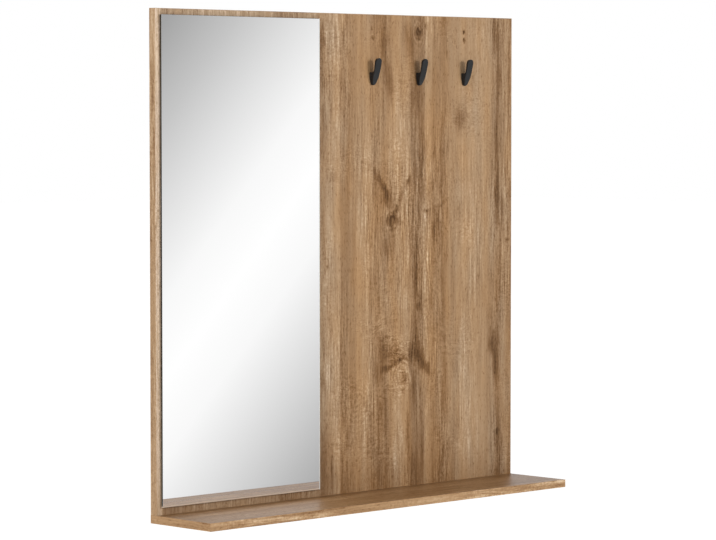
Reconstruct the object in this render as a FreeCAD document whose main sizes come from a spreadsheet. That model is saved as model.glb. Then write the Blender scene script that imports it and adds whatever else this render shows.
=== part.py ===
import FreeCAD, Part
import os
import re

import Sketcher

# Wall mirror panel: an upright oak-decor board with a mirror pane on its left part, three cast coat
# hooks on its right part and a shelf board under it. It hangs on two wall screws by keyhole plates.
# Frame: +Z up, +X to the right seen from the room, +Y into the wall, the rear face at Y = 0. The origin
# lies halfway between the entry holes of the two keyhole plates. All sizes are in millimetres.

doc = FreeCAD.newDocument("wall_mirror_panel")
sizes = doc.addObject("Spreadsheet::Sheet", "sizes")

driving_sizes = (
    # Boards and the bands on their edges
    ("panel_width", 1000.0),
    ("panel_height", 969.0),
    ("panel_thickness", 16.0),
    ("shelf_depth", 172.0),
    ("shelf_thickness", 16.0),
    ("band_thickness", 1.0),
    ("band_round", 0.6),
    # Mirror pane, the coating on its back and the tape that holds it
    ("mirror_width", 418.0),
    ("mirror_side_margin", 12.0),
    ("mirror_top_margin", 12.0),
    ("mirror_foot_margin", 14.5),
    ("glass_thickness", 4.0),
    ("glass_arris", 0.6),
    ("coating_thickness", 0.2),
    ("tape_thickness", 1.3),
    ("tape_width", 25.0),
    ("tape_side_margin", 30.0),
    ("tape_end_margin", 40.0),
    # Coat hooks: places on the panel
    ("hook_mirror_gap", 152.5),
    ("hook_right_margin", 147.5),
    ("hook_top_drop", 89.0),
    # Coat hooks: the casting
    ("hook_height", 54.5),
    ("hook_width", 15.5),
    ("hook_foot_width", 10.0),
    ("hook_taper_height", 16.0),
    ("hook_base_height", 26.0),
    ("hook_reach", 22.0),
    ("hook_arm_thickness", 5.6),
    ("hook_throat_depth", 12.0),
    ("hook_saddle_radius", 5.0),
    ("hook_foot_depth", 5.3),
    ("hook_front_radius", 200.0),
    ("hook_edge_bevel", 0.9),
    # Machine screws that hold the hooks from the rear
    ("hook_screw_diameter", 4.0),
    ("hook_screw_height", 8.5),
    ("hook_screw_pitch", 12.0),
    ("hook_screw_engagement", 4.0),
    ("hook_screw_head_diameter", 7.0),
    ("hook_screw_head_height", 2.5),
    ("hook_screw_head_round", 1.2),
    ("hook_screw_recess", 4.0),
    # Cam connectors and dowels between panel and shelf
    ("connector_margin", 60.0),
    ("cam_diameter", 15.0),
    ("cam_length", 12.5),
    ("cam_height", 24.0),
    ("bolt_head_diameter", 7.0),
    ("bolt_head_height", 3.0),
    ("bolt_neck_diameter", 4.5),
    ("bolt_shank_diameter", 7.5),
    ("bolt_thread_diameter", 5.0),
    ("bolt_thread_length", 11.0),
    ("dowel_diameter", 8.0),
    ("dowel_length", 25.0),
    ("dowel_shelf_depth", 11.0),
    ("dowel_chamfer", 0.8),
    # Keyhole plates let into the rear of the panel
    ("hanger_drop", 100.0),
    ("hanger_margin", 120.0),
    ("hanger_length", 60.0),
    ("hanger_width", 20.0),
    ("hanger_thickness", 2.0),
    ("keyhole_entry_diameter", 10.0),
    ("keyhole_slot_width", 5.0),
    ("keyhole_rise", 12.0),
    ("keyhole_room_width", 13.0),
    ("keyhole_room_depth", 9.0),
    # Countersunk screws that hold the keyhole plates
    ("hanger_screw_pitch", 44.0),
    ("hanger_screw_diameter", 3.5),
    ("hanger_screw_head_diameter", 6.6),
    ("hanger_screw_length", 12.0),
    ("hanger_screw_tip", 3.0),
    # Cross recesses in the screw heads and cams, and what all fits share
    ("recess_width", 1.0),
    ("recess_depth", 1.2),
    ("fit_clearance", 0.1),
    ("end_clearance", 0.5),
    ("cut_overrun", 5.0),
)

for row, (alias, value) in enumerate(driving_sizes, start=1):
    sizes.set(f"A{row}", alias)
    sizes.set(f"B{row}", str(value))
    sizes.setAlias(f"B{row}", alias)
doc.recompute()

hook_count = 3
tape_count = 4
connector_count = 4
dowel_count = connector_count - 1

# Places in the shared frame
left_side = "-panel_width / 2"
panel_foot = "(hanger_drop - panel_height)"
pane_back = "(panel_thickness + tape_thickness)"
connector_pitch = f"((panel_width - 2 * connector_margin) / {connector_count - 1})"
hanger_pitch = "(panel_width - 2 * hanger_margin)"
hook_foot = "(panel_height - hook_top_drop - hook_height)"
hook_first = "(mirror_side_margin + mirror_width + hook_mirror_gap)"
hook_pitch = f"((panel_width - hook_right_margin - {hook_first}) / {hook_count - 1})"
board_middle = "(panel_thickness / 2)"
plate_middle = "(panel_height - hanger_drop + keyhole_rise / 2)"

vector = FreeCAD.Vector
upward = vector(0, 0, 1)


# Small helpers for bound sizes, sketches and features

def cells(text):
    """Point each named size of an expression at its cell of the sheet."""
    return re.sub(r"\b[a-z]+(?:_[a-z]+)+\b", r"sizes.\g<0>", text)


def number(text):
    return float(sizes.evalExpression(cells(text)))


def new_body(label, across, back, up, rotation=None):
    body = doc.addObject("PartDesign::Body", label)
    body.Label = label
    if rotation:
        body.Placement.Rotation = rotation
    for axis, text in (("x", across), ("y", back), ("z", up)):
        body.setExpression(f"Placement.Base.{axis}", cells(text))
    return body


def new_sketch(body, name, role):
    sketch = body.newObject("Sketcher::SketchObject", f"{body.Name}_{name}")
    plane = next(item for item in body.Origin.OriginFeatures if item.Role == role)
    sketch.AttachmentSupport = (plane, [""])
    sketch.MapMode = "FlatFace"
    return sketch


def limit(sketch, kind, *items, size):
    """Add a sketch constraint whose size follows the sheet."""
    index = sketch.addConstraint(Sketcher.Constraint(kind, *items, number(size)))
    sketch.setExpression(f"Constraints[{index}]", cells(size))


def hold(sketch, line, end, across, up):
    """Hold a point of the sketch at two signed distances from the sketch's origin."""
    for kind, axis, text in (("DistanceX", -2, across), ("DistanceY", -1, up)):
        value = number(text)
        if value > 0:
            limit(sketch, kind, -1, 1, line, end, size=text)
        elif value < 0:
            limit(sketch, kind, line, end, -1, 1, size=f"-({text})")
        else:
            sketch.addConstraint(Sketcher.Constraint("PointOnObject", line, end, axis))


def outline(sketch, points):
    """Draw a closed outline of straight lines through points given as pairs of expressions."""
    corners = [vector(number(across), number(up), 0) for across, up in points]
    lines = []
    for index, corner in enumerate(corners):
        following = corners[(index + 1) % len(corners)]
        lines.append(sketch.addGeometry(Part.LineSegment(corner, following), False))
    for index, line in enumerate(lines):
        sketch.addConstraint(Sketcher.Constraint("Coincident", line, 2, lines[(index + 1) % len(lines)], 1))
        hold(sketch, line, 1, *points[index])
    return lines


def rectangle(sketch, left, foot, right, head):
    outline(sketch, ((left, foot), (right, foot), (right, head), (left, head)))


def circle(sketch, across, up, diameter):
    middle = vector(number(across), number(up), 0)
    ring = sketch.addGeometry(Part.Circle(middle, upward, number(diameter) / 2), False)
    limit(sketch, "Diameter", ring, size=diameter)
    hold(sketch, ring, 3, across, up)


def arc(sketch, middle, radius, start, end):
    """Draw an arc, counter-clockwise between two angles in half turns."""
    half_turn = FreeCAD.Units.Quantity("180 deg").getValueAs("rad").Value
    round_line = Part.Circle(middle, upward, radius)
    return sketch.addGeometry(Part.ArcOfCircle(round_line, start * half_turn, end * half_turn), False)


def join(sketch, kind, lines):
    """Join each line's end to the start of the next, round a closed outline."""
    for index, line in enumerate(lines):
        following = lines[(index + 1) % len(lines)]
        sketch.addConstraint(Sketcher.Constraint(kind, line, 2, following, 1))


def upright_slot(sketch, across, low, high, width):
    """Draw a slot with round ends, upright between the centres of its two ends."""
    radius = number(width) / 2
    foot = vector(number(across), number(low), 0)
    head = vector(number(across), number(high), 0)
    side = vector(radius, 0, 0)
    head_arc = arc(sketch, head, radius, 0, 1)
    left_line = sketch.addGeometry(Part.LineSegment(head - side, foot - side), False)
    foot_arc = arc(sketch, foot, radius, 1, 2)
    right_line = sketch.addGeometry(Part.LineSegment(foot + side, head + side), False)
    join(sketch, "Tangent", (head_arc, left_line, foot_arc, right_line))
    sketch.addConstraint(Sketcher.Constraint("Equal", head_arc, foot_arc))
    limit(sketch, "Diameter", head_arc, size=width)
    hold(sketch, foot_arc, 3, across, low)
    hold(sketch, head_arc, 3, across, high)


def add_pad(body, sketch, length, backward=False, both_ways=False):
    pad = body.newObject("PartDesign::Pad", f"{sketch.Name}_pad")
    pad.Profile = sketch
    pad.Reversed = backward
    if both_ways:
        pad.SideType = "Symmetric"
    pad.setExpression("Length", cells(length))
    doc.recompute()
    return pad


def add_pocket(body, sketch, depth, backward=False, both_ways=False):
    """Cut a pocket, and make sure that it took material away."""
    volume_before = body.Shape.Volume
    pocket = body.newObject("PartDesign::Pocket", f"{sketch.Name}_cut")
    pocket.Profile = sketch
    pocket.Reversed = backward
    if both_ways:
        pocket.SideType = "Symmetric"
    pocket.setExpression("Length", cells(depth))
    doc.recompute()
    if body.Shape.Volume >= volume_before:
        raise ValueError(f"{pocket.Name} cuts nothing")
    return pocket


def add_revolution(body, sketch, axis):
    turned = body.newObject("PartDesign::Revolution", f"{sketch.Name}_turned")
    turned.Profile = sketch
    turned.ReferenceAxis = (sketch, [axis])
    doc.recompute()
    return turned


def dress_edges(body, kind, size_name, size, wanted):
    """Round or chamfer the edges of the body that the rule picks."""
    base = body.Tip
    edges = [f"Edge{index}" for index, edge in enumerate(base.Shape.Edges, start=1) if wanted(edge)]
    dressed = body.newObject(f"PartDesign::{kind}", f"{base.Name}_{kind.lower()}")
    dressed.Base = (base, edges)
    dressed.setExpression(size_name, cells(size))
    doc.recompute()
    return dressed


def repeat(body, originals, sketch, axis, count, pitch):
    """Repeat features in a row along an axis of a sketch."""
    pattern = body.newObject("PartDesign::LinearPattern", f"{body.Name}_row")
    pattern.Originals = originals
    pattern.Direction = (sketch, [axis])
    pattern.Mode = "Spacing"
    pattern.Occurrences = count
    pattern.setExpression("Offset", cells(pitch))
    body.Tip = pattern
    doc.recompute()


def same(first, second):
    return abs(first - second) < number("fit_clearance") / 100


def lies_at(edge, axis, text):
    """Tell whether a whole edge lies at one place along an axis of its body."""
    place = number(text)
    low = getattr(edge.BoundBox, f"{axis}Min")
    high = getattr(edge.BoundBox, f"{axis}Max")
    return same(low, place) and same(high, place)


def connector_places():
    return [f"(connector_margin + {index} * {connector_pitch})" for index in range(connector_count)]


def dowel_places():
    return [f"(connector_margin + {index + 0.5} * {connector_pitch})" for index in range(dowel_count)]


def hook_places():
    return [f"({hook_first} + {index} * {hook_pitch})" for index in range(hook_count)]


# Upright board: drilled from the rear for cams, hook screws and keyhole plates, from below for the shelf

panel = new_body("panel_board", left_side, "0", panel_foot)
blank = new_sketch(panel, "blank", "XZ_Plane")
rectangle(blank, "band_thickness", "0", "panel_width - band_thickness", "panel_height - band_thickness")
add_pad(panel, blank, "panel_thickness")

cam_holes = new_sketch(panel, "cam_holes", "XZ_Plane")
for place in connector_places():
    circle(cam_holes, place, "cam_height", "cam_diameter + 2 * fit_clearance")
add_pocket(panel, cam_holes, "cam_length + fit_clearance", backward=True)

bolt_holes = new_sketch(panel, "bolt_holes", "XY_Plane")
for place in connector_places():
    circle(bolt_holes, place, f"-{board_middle}", "bolt_shank_diameter + 2 * fit_clearance")
add_pocket(panel, bolt_holes, "cam_height", backward=True)

dowel_holes = new_sketch(panel, "dowel_holes", "XY_Plane")
for place in dowel_places():
    circle(dowel_holes, place, f"-{board_middle}", "dowel_diameter + 2 * fit_clearance")
add_pocket(panel, dowel_holes, "dowel_length - dowel_shelf_depth + end_clearance", backward=True)

hook_holes = new_sketch(panel, "hook_holes", "XZ_Plane")
hook_seats = new_sketch(panel, "hook_seats", "XZ_Plane")
for place in hook_places():
    for step in range(2):
        height = f"({hook_foot} + hook_screw_height + {step} * hook_screw_pitch)"
        circle(hook_holes, place, height, "hook_screw_diameter + 2 * fit_clearance")
        circle(hook_seats, place, height, "hook_screw_head_diameter + 2 * end_clearance")
add_pocket(panel, hook_holes, "panel_thickness", backward=True)
add_pocket(panel, hook_seats, "hook_screw_recess", backward=True)

plate_seats = new_sketch(panel, "plate_seats", "XZ_Plane")
plate_rooms = new_sketch(panel, "plate_rooms", "XZ_Plane")
plate_pilots = new_sketch(panel, "plate_pilots", "XZ_Plane")
plate_straight = "(hanger_length - hanger_width) / 2"
for place in ("hanger_margin", "panel_width - hanger_margin"):
    low = f"{plate_middle} - {plate_straight}"
    high = f"{plate_middle} + {plate_straight}"
    upright_slot(plate_seats, place, low, high, "hanger_width + 2 * fit_clearance")
    low = f"{plate_middle} - keyhole_rise / 2"
    high = f"{plate_middle} + keyhole_rise / 2"
    upright_slot(plate_rooms, place, low, high, "keyhole_room_width")
    for side in ("-", "+"):
        height = f"{plate_middle} {side} hanger_screw_pitch / 2"
        circle(plate_pilots, place, height, "hanger_screw_diameter + 2 * fit_clearance")
add_pocket(panel, plate_seats, "hanger_thickness", backward=True)
add_pocket(panel, plate_rooms, "keyhole_room_depth", backward=True)
add_pocket(panel, plate_pilots, "hanger_screw_length + end_clearance", backward=True)


# Shelf board: lies under the panel, flush with its rear and both ends

shelf = new_body("shelf_board", left_side, "0", panel_foot)
blank = new_sketch(shelf, "blank", "XY_Plane")
rectangle(blank, "band_thickness", "band_thickness - shelf_depth", "panel_width - band_thickness", "0")
add_pad(shelf, blank, "shelf_thickness", backward=True)

thread_holes = new_sketch(shelf, "thread_holes", "XY_Plane")
for place in connector_places():
    circle(thread_holes, place, f"-{board_middle}", "bolt_thread_diameter + 2 * fit_clearance")
add_pocket(shelf, thread_holes, "bolt_thread_length + end_clearance")

dowel_holes = new_sketch(shelf, "dowel_holes", "XY_Plane")
for place in dowel_places():
    circle(dowel_holes, place, f"-{board_middle}", "dowel_diameter + 2 * fit_clearance")
add_pocket(shelf, dowel_holes, "dowel_shelf_depth + end_clearance")


# Edge bands: strips glued to the cut edges, with their two outer long edges eased

def edge_band(label, length, board, across, back, up, rotation):
    """Make a strip that runs along its own X, with its outer face up along its own Z."""
    band = new_body(label, across, back, up, rotation)
    section = new_sketch(band, "strip", "XZ_Plane")
    rectangle(section, "0", "0", length, "band_thickness")
    add_pad(band, section, board)

    def outer_long_edge(edge):
        return lies_at(edge, "Z", "band_thickness") and edge.BoundBox.XLength > edge.BoundBox.YLength

    dress_edges(band, "Fillet", "Radius", "band_round", outer_long_edge)


def turned_axes(along, through, outward):
    return FreeCAD.Rotation(vector(*along), vector(*through), vector(*outward), "XYZ")


right_inner = "panel_width / 2 - band_thickness"
left_inner = "band_thickness - panel_width / 2"
shelf_front_inner = "band_thickness - shelf_depth"
panel_left_axes = turned_axes((0, 0, 1), (0, 1, 0), (-1, 0, 0))
panel_right_axes = turned_axes((0, 0, -1), (0, 1, 0), (1, 0, 0))
panel_top_axes = turned_axes((1, 0, 0), (0, 1, 0), (0, 0, 1))
shelf_left_axes = turned_axes((0, -1, 0), (0, 0, 1), (-1, 0, 0))
shelf_right_axes = turned_axes((0, 1, 0), (0, 0, 1), (1, 0, 0))
shelf_front_axes = turned_axes((1, 0, 0), (0, 0, 1), (0, -1, 0))

between_bands = "panel_width - 2 * band_thickness"
behind_band = "shelf_depth - band_thickness"
edge_band("panel_edge_left", "panel_height", "panel_thickness", left_inner, "0", panel_foot, panel_left_axes)
edge_band(
    "panel_edge_right", "panel_height", "panel_thickness", right_inner, "0", "hanger_drop", panel_right_axes)
edge_band(
    "panel_edge_top", between_bands, "panel_thickness", left_inner, "0", "hanger_drop - band_thickness",
    panel_top_axes)
edge_band("shelf_edge_left", behind_band, "shelf_thickness", left_inner, "0", panel_foot, shelf_left_axes)
edge_band(
    "shelf_edge_right", behind_band, "shelf_thickness", right_inner, shelf_front_inner, panel_foot,
    shelf_right_axes)
edge_band(
    "shelf_edge_front", "panel_width", "shelf_thickness", left_side, shelf_front_inner, panel_foot,
    shelf_front_axes)


# Mirror pane: float glass with arrised edges, its silvered coating and the foam tape behind it

mirror_left = "mirror_side_margin"
mirror_right = "mirror_side_margin + mirror_width"
mirror_head = "panel_height - mirror_top_margin"

glass = new_body("mirror_glass", left_side, f"-{pane_back} - coating_thickness", panel_foot)
pane = new_sketch(glass, "pane", "XZ_Plane")
rectangle(pane, mirror_left, "mirror_foot_margin", mirror_right, mirror_head)
add_pad(glass, pane, "glass_thickness")
dress_edges(glass, "Chamfer", "Size", "glass_arris", lambda edge: same(edge.BoundBox.YLength, 0))

backing = new_body("mirror_backing", left_side, f"-{pane_back}", panel_foot)
film = new_sketch(backing, "film", "XZ_Plane")
rectangle(
    film, f"{mirror_left} + glass_arris", "mirror_foot_margin + glass_arris", f"{mirror_right} - glass_arris",
    f"{mirror_head} - glass_arris")
add_pad(backing, film, "coating_thickness")

tape = new_body("mirror_tape", left_side, "-panel_thickness", panel_foot)
strip = new_sketch(tape, "strip", "XZ_Plane")
tape_left = f"{mirror_left} + tape_side_margin"
rectangle(
    strip, tape_left, "mirror_foot_margin + tape_end_margin", f"{tape_left} + tape_width",
    f"{mirror_head} - tape_end_margin")
first_strip = add_pad(tape, strip, "tape_thickness")
tape_pitch = f"(mirror_width - 2 * tape_side_margin - tape_width) / {tape_count - 1}"
repeat(tape, [first_strip], strip, "H_Axis", tape_count, tape_pitch)


# Coat hooks: one casting each, with a solid wedge on the panel, a round saddle and a raised arm.
# The side view is drawn first, then trimmed to the front view, and all edges but the seat are bevelled.

def hook_side(sketch):
    """Draw the side view: Y is the distance from the panel, Z the height above the foot."""
    foot_points = (("0", "hook_base_height"), ("0", "-cut_overrun"), ("hook_foot_depth", "-cut_overrun"))
    back_head = "hook_reach - hook_arm_thickness"
    head = "hook_height + cut_overrun"
    corners = [vector(number(across), number(up), 0) for across, up in foot_points]
    foot_front = vector(number("hook_foot_depth"), 0, 0)
    head_front = vector(number("hook_reach"), number("hook_height"), 0)
    head_corner = vector(number("hook_reach"), number(head), 0)
    back_corner = vector(number(back_head), number(head), 0)
    saddle_radius = number("hook_saddle_radius")
    saddle_middle = vector(
        number("hook_throat_depth - hook_saddle_radius"), number("hook_base_height + hook_saddle_radius"), 0)
    saddle_foot = saddle_middle - vector(0, saddle_radius, 0)
    saddle_side = saddle_middle + vector(saddle_radius, 0, 0)

    chord = head_front - foot_front
    front_radius = number("hook_front_radius")
    rise = (front_radius ** 2 - (chord.Length / 2) ** 2) ** 0.5
    across_chord = vector(chord.y, -chord.x, 0).normalize()
    front_middle = foot_front + chord / 2 - across_chord * rise
    bulge = front_middle + across_chord * front_radius

    seat = sketch.addGeometry(Part.LineSegment(corners[0], corners[1]), False)
    under = sketch.addGeometry(Part.LineSegment(corners[1], corners[2]), False)
    foot_line = sketch.addGeometry(Part.LineSegment(corners[2], foot_front), False)
    front = sketch.addGeometry(Part.Arc(foot_front, bulge, head_front), False)
    head_line = sketch.addGeometry(Part.LineSegment(head_front, head_corner), False)
    top = sketch.addGeometry(Part.LineSegment(head_corner, back_corner), False)
    back = sketch.addGeometry(Part.LineSegment(back_corner, saddle_side), False)
    saddle = arc(sketch, saddle_middle, saddle_radius, -0.5, 0)
    ledge = sketch.addGeometry(Part.LineSegment(saddle_foot, corners[0]), False)

    for first, second in ((seat, under), (under, foot_line), (head_line, top), (top, back), (ledge, seat)):
        sketch.addConstraint(Sketcher.Constraint("Coincident", first, 2, second, 1))
    sketch.addConstraint(Sketcher.Constraint("Coincident", foot_line, 2, front, 1))
    sketch.addConstraint(Sketcher.Constraint("Coincident", front, 2, head_line, 1))
    sketch.addConstraint(Sketcher.Constraint("Coincident", back, 2, saddle, 2))
    sketch.addConstraint(Sketcher.Constraint("Coincident", saddle, 1, ledge, 1))
    hold(sketch, seat, 1, *foot_points[0])
    hold(sketch, under, 1, *foot_points[1])
    hold(sketch, foot_line, 1, *foot_points[2])
    hold(sketch, front, 1, "hook_foot_depth", "0")
    hold(sketch, front, 2, "hook_reach", "hook_height")
    limit(sketch, "Radius", front, size="hook_front_radius")
    hold(sketch, top, 1, "hook_reach", head)
    hold(sketch, top, 2, back_head, head)
    hold(sketch, saddle, 3, "hook_throat_depth - hook_saddle_radius", "hook_base_height + hook_saddle_radius")
    limit(sketch, "Radius", saddle, size="hook_saddle_radius")
    sketch.addConstraint(Sketcher.Constraint("Vertical", saddle, 3, saddle, 1))
    sketch.addConstraint(Sketcher.Constraint("Horizontal", saddle, 3, saddle, 2))


def hook_front(sketch):
    """Draw the front view: a round head, straight sides and a tapered, rounded foot."""
    head_radius = number("hook_width / 2")
    foot_radius = number("hook_foot_width / 2")
    head_middle = vector(0, number("hook_height - hook_width / 2"), 0)
    foot_middle = vector(0, number("hook_foot_width / 2"), 0)
    head_side = vector(head_radius, 0, 0)
    foot_side = vector(foot_radius, 0, 0)
    left_bend = vector(-head_radius, number("hook_taper_height"), 0)
    right_bend = vector(head_radius, number("hook_taper_height"), 0)

    head = arc(sketch, head_middle, head_radius, 0, 1)
    left_line = sketch.addGeometry(Part.LineSegment(head_middle - head_side, left_bend), False)
    left_taper = sketch.addGeometry(Part.LineSegment(left_bend, foot_middle - foot_side), False)
    foot = arc(sketch, foot_middle, foot_radius, 1, 2)
    right_taper = sketch.addGeometry(Part.LineSegment(foot_middle + foot_side, right_bend), False)
    right_line = sketch.addGeometry(Part.LineSegment(right_bend, head_middle + head_side), False)

    sketch.addConstraint(Sketcher.Constraint("Tangent", head, 2, left_line, 1))
    sketch.addConstraint(Sketcher.Constraint("Coincident", left_line, 2, left_taper, 1))
    sketch.addConstraint(Sketcher.Constraint("Tangent", left_taper, 2, foot, 1))
    sketch.addConstraint(Sketcher.Constraint("Tangent", foot, 2, right_taper, 1))
    sketch.addConstraint(Sketcher.Constraint("Coincident", right_taper, 2, right_line, 1))
    sketch.addConstraint(Sketcher.Constraint("Tangent", right_line, 2, head, 1))
    hold(sketch, head, 3, "0", "hook_height - hook_width / 2")
    hold(sketch, foot, 3, "0", "hook_foot_width / 2")
    limit(sketch, "Diameter", head, size="hook_width")
    limit(sketch, "Diameter", foot, size="hook_foot_width")
    hold(sketch, left_line, 2, "-hook_width / 2", "hook_taper_height")
    hold(sketch, right_taper, 2, "hook_width / 2", "hook_taper_height")


def coat_hook(label, place):
    facing_room = FreeCAD.Rotation(upward, FreeCAD.Units.Quantity("180 deg").Value)
    hook = new_body(
        label, f"{left_side} + {place}", "-panel_thickness", f"{panel_foot} + {hook_foot}", facing_room)
    side = new_sketch(hook, "side", "YZ_Plane")
    hook_side(side)
    add_pad(hook, side, "hook_width + 2 * cut_overrun", both_ways=True)

    front = new_sketch(hook, "front", "XZ_Plane")
    rectangle(
        front, "-hook_width - cut_overrun", "-2 * cut_overrun", "hook_width + cut_overrun",
        "hook_height + 2 * cut_overrun")
    hook_front(front)
    add_pocket(hook, front, "2 * hook_reach + cut_overrun", both_ways=True)
    dress_edges(
        hook, "Chamfer", "Size", "hook_edge_bevel",
        lambda edge: edge.BoundBox.YMax > number("fit_clearance"))

    threads = new_sketch(hook, "threads", "XZ_Plane")
    for step in range(2):
        height = f"hook_screw_height + {step} * hook_screw_pitch"
        circle(threads, "0", height, "hook_screw_diameter + 2 * fit_clearance")
    add_pocket(hook, threads, "hook_screw_engagement + end_clearance")


for label, place in zip(("hook_left", "hook_middle", "hook_right"), hook_places()):
    coat_hook(label, place)


# Screws, cams, bolts and dowels

def cross_recess(body, name, length, face, height):
    """Cut a cross recess into a flat face that looks along the body's own +Y."""
    arms = []
    for arm, wide, tall in (("level", length, "recess_width"), ("upright", "recess_width", length)):
        sketch = new_sketch(body, f"{name}_{arm}", "XZ_Plane")
        sketch.setExpression("AttachmentOffset.Base.z", cells(f"-({face})"))
        rectangle(sketch, f"-{wide} / 2", f"{height} - {tall} / 2", f"{wide} / 2", f"{height} + {tall} / 2")
        arms.append(add_pocket(body, sketch, "recess_depth", backward=True))
    return arms


def screw_pairs(body, half_points, recess_length, face, pair_pitch, count, pitch):
    """Turn an upper and a lower screw with cross recesses, and repeat the pair in a row."""
    features = []
    for step in range(2):
        height = f"{step} * {pair_pitch}"
        half = new_sketch(body, f"half_{step}", "XY_Plane")
        half.setExpression("AttachmentOffset.Base.z", cells(height))
        outline(half, half_points)
        features.append(add_revolution(body, half, "V_Axis"))
        features.extend(cross_recess(body, f"recess_{step}", recess_length, face, height))
    repeat(body, features, half, "H_Axis", count, pitch)


hook_screws = new_body(
    "hook_screws", f"{left_side} + {hook_first}", "-hook_screw_recess",
    f"{panel_foot} + {hook_foot} + hook_screw_height")
screw_end = "-(panel_thickness - hook_screw_recess + hook_screw_engagement)"
hook_screw_half = (
    ("0", screw_end),
    ("hook_screw_diameter / 2", screw_end),
    ("hook_screw_diameter / 2", "0"),
    ("hook_screw_head_diameter / 2", "0"),
    ("hook_screw_head_diameter / 2", "hook_screw_head_height - hook_screw_head_round"),
    ("hook_screw_head_diameter / 2 - hook_screw_head_round", "hook_screw_head_height"),
    ("0", "hook_screw_head_height"),
)
head_flat = "(hook_screw_head_diameter - 2 * hook_screw_head_round)"
screw_pairs(
    hook_screws, hook_screw_half, head_flat, "hook_screw_head_height", "hook_screw_pitch",
    hook_count, hook_pitch)

cams = new_body("cam_housings", f"{left_side} + connector_margin", "0", f"{panel_foot} + cam_height")
drum = new_sketch(cams, "drum", "XZ_Plane")
circle(drum, "0", "0", "cam_diameter")
cam = add_pad(cams, drum, "cam_length")
bolt_bore = new_sketch(cams, "bolt_bore", "XY_Plane")
circle(bolt_bore, "0", f"-{board_middle}", "bolt_head_diameter + 2 * fit_clearance")
bore_below = add_pocket(cams, bolt_bore, "cam_diameter")
bolt_crown = new_sketch(cams, "bolt_crown", "XY_Plane")
circle(bolt_crown, "0", f"-{board_middle}", "bolt_head_diameter + 2 * fit_clearance")
bore_above = add_pocket(cams, bolt_crown, "bolt_head_height / 2 + fit_clearance", backward=True)
recess = cross_recess(cams, "recess", "(cam_diameter / 2)", "0", "0")
repeat(cams, [cam, bore_below, bore_above, *recess], drum, "H_Axis", connector_count, connector_pitch)

bolts = new_body("cam_bolts", f"{left_side} + connector_margin", f"-{board_middle}", panel_foot)
bolt_half = new_sketch(bolts, "half", "XZ_Plane")
head_foot = "(cam_height - bolt_head_height / 2)"
outline(bolt_half, (
    ("0", "-bolt_thread_length"),
    ("bolt_thread_diameter / 2", "-bolt_thread_length"),
    ("bolt_thread_diameter / 2", "0"),
    ("bolt_shank_diameter / 2", "0"),
    ("bolt_shank_diameter / 2", "cam_height - cam_diameter / 2 - end_clearance"),
    ("bolt_neck_diameter / 2", "cam_height - cam_diameter / 2 - end_clearance"),
    ("bolt_neck_diameter / 2", head_foot),
    ("bolt_head_diameter / 2", head_foot),
    ("bolt_head_diameter / 2", "cam_height + bolt_head_height / 2"),
    ("0", "cam_height + bolt_head_height / 2"),
))
bolt = add_revolution(bolts, bolt_half, "V_Axis")
repeat(bolts, [bolt], bolt_half, "H_Axis", connector_count, connector_pitch)

dowels = new_body(
    "shelf_dowels", f"{left_side} + connector_margin + {connector_pitch} / 2", f"-{board_middle}",
    f"{panel_foot} - dowel_shelf_depth")
dowel_half = new_sketch(dowels, "half", "XZ_Plane")
outline(dowel_half, (
    ("0", "0"),
    ("dowel_diameter / 2 - dowel_chamfer", "0"),
    ("dowel_diameter / 2", "dowel_chamfer"),
    ("dowel_diameter / 2", "dowel_length - dowel_chamfer"),
    ("dowel_diameter / 2 - dowel_chamfer", "dowel_length"),
    ("0", "dowel_length"),
))
dowel = add_revolution(dowels, dowel_half, "V_Axis")
repeat(dowels, [dowel], dowel_half, "H_Axis", dowel_count, connector_pitch)


# Keyhole plates: the wall screw's head goes in at the round entry and the panel drops onto its neck

def keyhole_plate(label, across):
    plate = new_body(label, f"{left_side} + {across}", "0", "keyhole_rise / 2")
    blank = new_sketch(plate, "blank", "XZ_Plane")
    upright_slot(blank, "0", f"-({plate_straight})", plate_straight, "hanger_width")
    add_pad(plate, blank, "hanger_thickness")
    entry = new_sketch(plate, "entry", "XZ_Plane")
    circle(entry, "0", "-keyhole_rise / 2", "keyhole_entry_diameter")
    add_pocket(plate, entry, "hanger_thickness", backward=True)
    slot = new_sketch(plate, "slot", "XZ_Plane")
    upright_slot(slot, "0", "-keyhole_rise / 2", "keyhole_rise / 2", "keyhole_slot_width")
    add_pocket(plate, slot, "hanger_thickness", backward=True)
    screw_holes = new_sketch(plate, "screw_holes", "XZ_Plane")
    hole_diameter = "hanger_screw_diameter + 2 * fit_clearance"
    for side in ("-", ""):
        circle(screw_holes, "0", f"{side}hanger_screw_pitch / 2", hole_diameter)
    add_pocket(plate, screw_holes, "hanger_thickness", backward=True)

    def sink_edge(edge):
        beyond = number("hanger_screw_pitch / 2") - number(hole_diameter)
        return lies_at(edge, "Y", "0") and edge.Closed and abs(edge.CenterOfMass.z) > beyond

    dress_edges(
        plate, "Chamfer", "Size", "(hanger_screw_head_diameter - hanger_screw_diameter) / 2", sink_edge)


keyhole_plate("hanger_left", "hanger_margin")
keyhole_plate("hanger_right", "panel_width - hanger_margin")

hanger_screws = new_body(
    "hanger_screws", f"{left_side} + hanger_margin", "0", "(keyhole_rise - hanger_screw_pitch) / 2")
sink_depth = "(hanger_screw_head_diameter - hanger_screw_diameter) / 2"
hanger_screw_half = (
    ("0", "-hanger_screw_length"),
    ("hanger_screw_diameter / 2", "hanger_screw_tip - hanger_screw_length"),
    ("hanger_screw_diameter / 2", f"-{sink_depth}"),
    ("hanger_screw_head_diameter / 2", "0"),
    ("0", "0"),
)
screw_pairs(
    hanger_screws, hanger_screw_half, "hanger_screw_diameter", "0", "hanger_screw_pitch", 2, hanger_pitch)


# Every feature is checked before the first file is written

doc.recompute()
for item in doc.Objects:
    if "Invalid" in item.State or "Error" in item.State:
        raise ValueError(f"{item.Name} did not recompute")

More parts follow.
